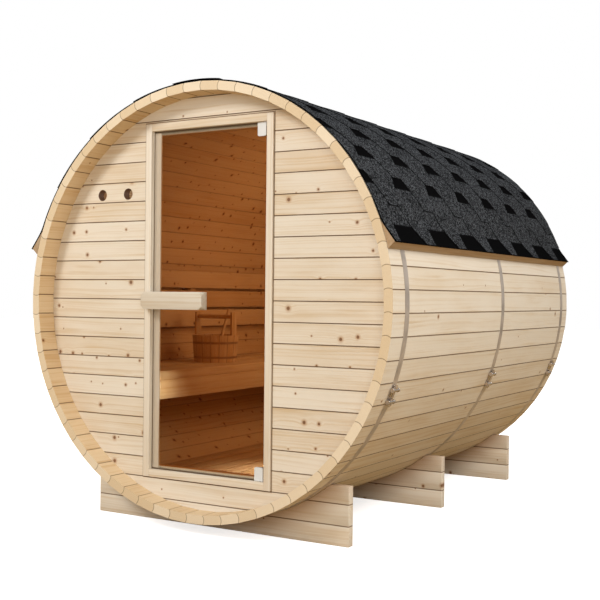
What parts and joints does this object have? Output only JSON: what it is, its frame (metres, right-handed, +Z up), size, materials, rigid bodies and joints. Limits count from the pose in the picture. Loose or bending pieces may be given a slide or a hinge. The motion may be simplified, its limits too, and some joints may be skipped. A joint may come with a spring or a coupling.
{
  "type": "barrel sauna",
  "caption": "Barrel sauna: round timber stave shell on plank cradles, steel bands, shingled roof, board end walls, framed glass door, side bench inside.",
  "frame": {"origin": "on the ground under the middle of the barrel, at the centre of the underside of the bounding box", "axes": "+X to the right seen from the door, +Y from the door end to the back along the barrel, +Z up"},
  "size_m": [1.9274, 2.27, 1.9601],
  "materials": {
    "stave_wood": "planed pale spruce",
    "wall_wood": "planed pale spruce boards",
    "frame_wood": "planed pale spruce",
    "handle_wood": "sanded pale spruce",
    "cradle_wood": "planed pale spruce",
    "eaves_wood": "sawn spruce",
    "floor_wood": "planed pale spruce",
    "bench_wood": "sanded pale spruce",
    "bucket_wood": "sanded pale wood",
    "bronze_glass": "clear bronze tint",
    "white_hinge": "smooth white",
    "steel": "bright zinc",
    "band_steel": "satin",
    "roofing": "mineral-surfaced bitumen"
  },
  "bodies": {
    "root": {"staves_bottom_right": "stave_wood", "staves_right_lower": "stave_wood", "staves_right_upper": "stave_wood", "staves_top_right": "stave_wood", "staves_top_left": "stave_wood", "staves_left_upper": "stave_wood", "staves_left_lower": "stave_wood", "staves_bottom_left": "stave_wood", "front_wall_left": "wall_wood", "front_wall_right": "wall_wood", "front_wall_top": "wall_wood", "front_wall_bottom": "wall_wood", "rear_wall": "wall_wood", "door_frame_left": "frame_wood", "door_frame_right": "frame_wood", "door_frame_head": "frame_wood", "door_sill": "frame_wood", "hinge_bearing_top": "white_hinge", "hinge_bearing_bottom": "white_hinge", "cradle_front": "cradle_wood", "cradle_middle": "cradle_wood", "cradle_rear": "cradle_wood", "band_front": "band_steel", "band_clamp_front": "steel", "band_middle": "band_steel", "band_clamp_middle": "steel", "band_rear": "band_steel", "band_clamp_rear": "steel", "roof_shingles": "roofing", "eaves_strip_left": "eaves_wood", "eaves_strip_right": "eaves_wood", "floor_boards": "floor_wood", "floor_bearers": "floor_wood", "bench_seat": "bench_wood", "bench_front_board": "bench_wood", "bench_bearers": "bench_wood", "backrest": "bench_wood", "bucket": "bucket_wood", "ladle": "bucket_wood"},
    "door": {"door_glass": "bronze_glass", "door_handle_outside": "handle_wood", "door_handle_inside": "handle_wood", "handle_fixings": "steel", "hinge_clip_top": "white_hinge", "hinge_clip_bottom": "white_hinge"}
  },
  "joints": [
    {"name": "door_hinge", "type": "hinge", "parent": "root", "child": "door", "pos_m": [0.292, -1.025, 1], "axis": [0, 0, 1], "range_deg": [0, 95]}
  ]
}
